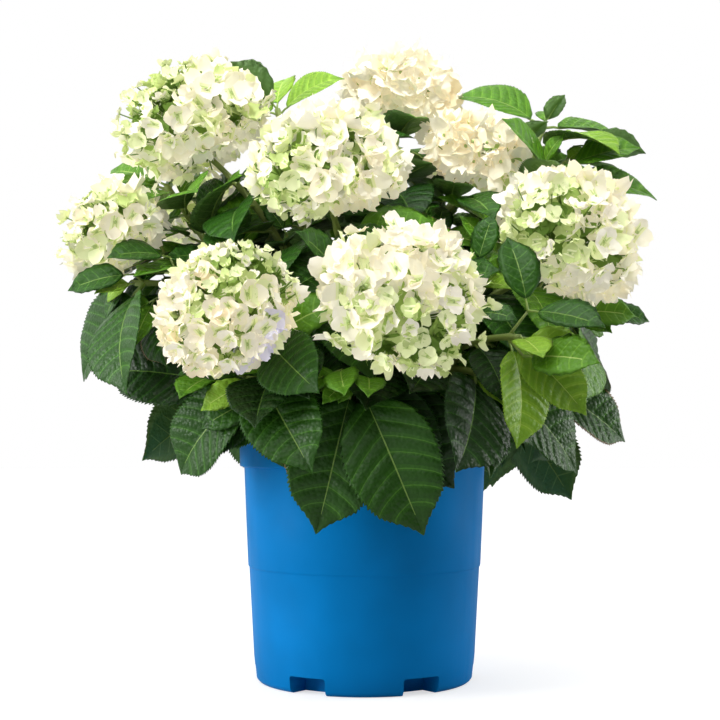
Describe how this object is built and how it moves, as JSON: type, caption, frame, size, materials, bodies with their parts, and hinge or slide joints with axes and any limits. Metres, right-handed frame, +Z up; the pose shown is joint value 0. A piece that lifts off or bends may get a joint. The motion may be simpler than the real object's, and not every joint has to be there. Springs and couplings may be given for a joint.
{
  "type": "potted hydrangea shrub",
  "caption": "Mophead hydrangea in full bloom, a clump of canes with toothed leaves and pale domed flower heads, growing in a blue nursery pot.",
  "frame": {"origin": "centre of the pot's flat underside", "axes": "+Z up through the pot's centre, -Y towards the plant's fullest side, +X to the right seen from there"},
  "size_m": [0.5487, 0.5114, 0.605],
  "materials": {
    "pot_plastic": "semi-gloss moulded blue",
    "potting_mix": "loose dark bark mix",
    "old_bark": "rough grey-brown bark",
    "green_cane": "satin green young stem",
    "leaf": "satin green leaf",
    "petals": "soft cream petals with pale green centres"
  },
  "bodies": {
    "root": {"pot": "pot_plastic", "soil": "potting_mix", "woody_base": "old_bark", "cane_upper_left": "green_cane", "cane_upper_middle": "green_cane", "cane_top": "green_cane", "cane_upper_right": "green_cane", "cane_right": "green_cane", "cane_front_middle": "green_cane", "cane_front_left": "green_cane", "cane_left": "green_cane", "cane_back_left": "green_cane", "cane_back_top": "green_cane", "cane_back_right": "green_cane", "cane_back_low_left": "green_cane", "cane_back_low_right": "green_cane", "flower_head_upper_left": "petals", "flower_head_upper_middle": "petals", "flower_head_top": "petals", "flower_head_upper_right": "petals", "flower_head_right": "petals", "flower_head_front_middle": "petals", "flower_head_front_left": "petals", "flower_head_left": "petals", "flower_head_back_left": "petals", "flower_head_back_top": "petals", "flower_head_back_right": "petals", "flower_head_back_low_left": "petals", "flower_head_back_low_right": "petals", "foliage_skirt_front": "leaf", "foliage_skirt_front_left": "leaf", "foliage_skirt_front_right": "leaf", "foliage_skirt_right": "leaf", "foliage_skirt_left": "leaf", "foliage_skirt_back_left": "leaf", "foliage_skirt_back": "leaf", "foliage_skirt_back_right": "leaf", "foliage_tall_left": "leaf", "foliage_tall_right": "leaf", "foliage_high_right": "leaf", "foliage_far_right": "leaf", "foliage_young_front": "leaf", "foliage_high_left": "leaf", "foliage_far_left": "leaf", "foliage_inner_front_left": "leaf", "foliage_inner_front_right": "leaf", "foliage_upper_left": "leaf", "foliage_upper_middle": "leaf", "foliage_top": "leaf", "foliage_upper_right": "leaf", "foliage_right": "leaf", "foliage_front_middle": "leaf", "foliage_front_left": "leaf", "foliage_left": "leaf", "foliage_back_left": "leaf", "foliage_back_top": "leaf", "foliage_back_right": "leaf", "foliage_back_low_left": "leaf", "foliage_back_low_right": "leaf"}
  },
  "joints": []
}
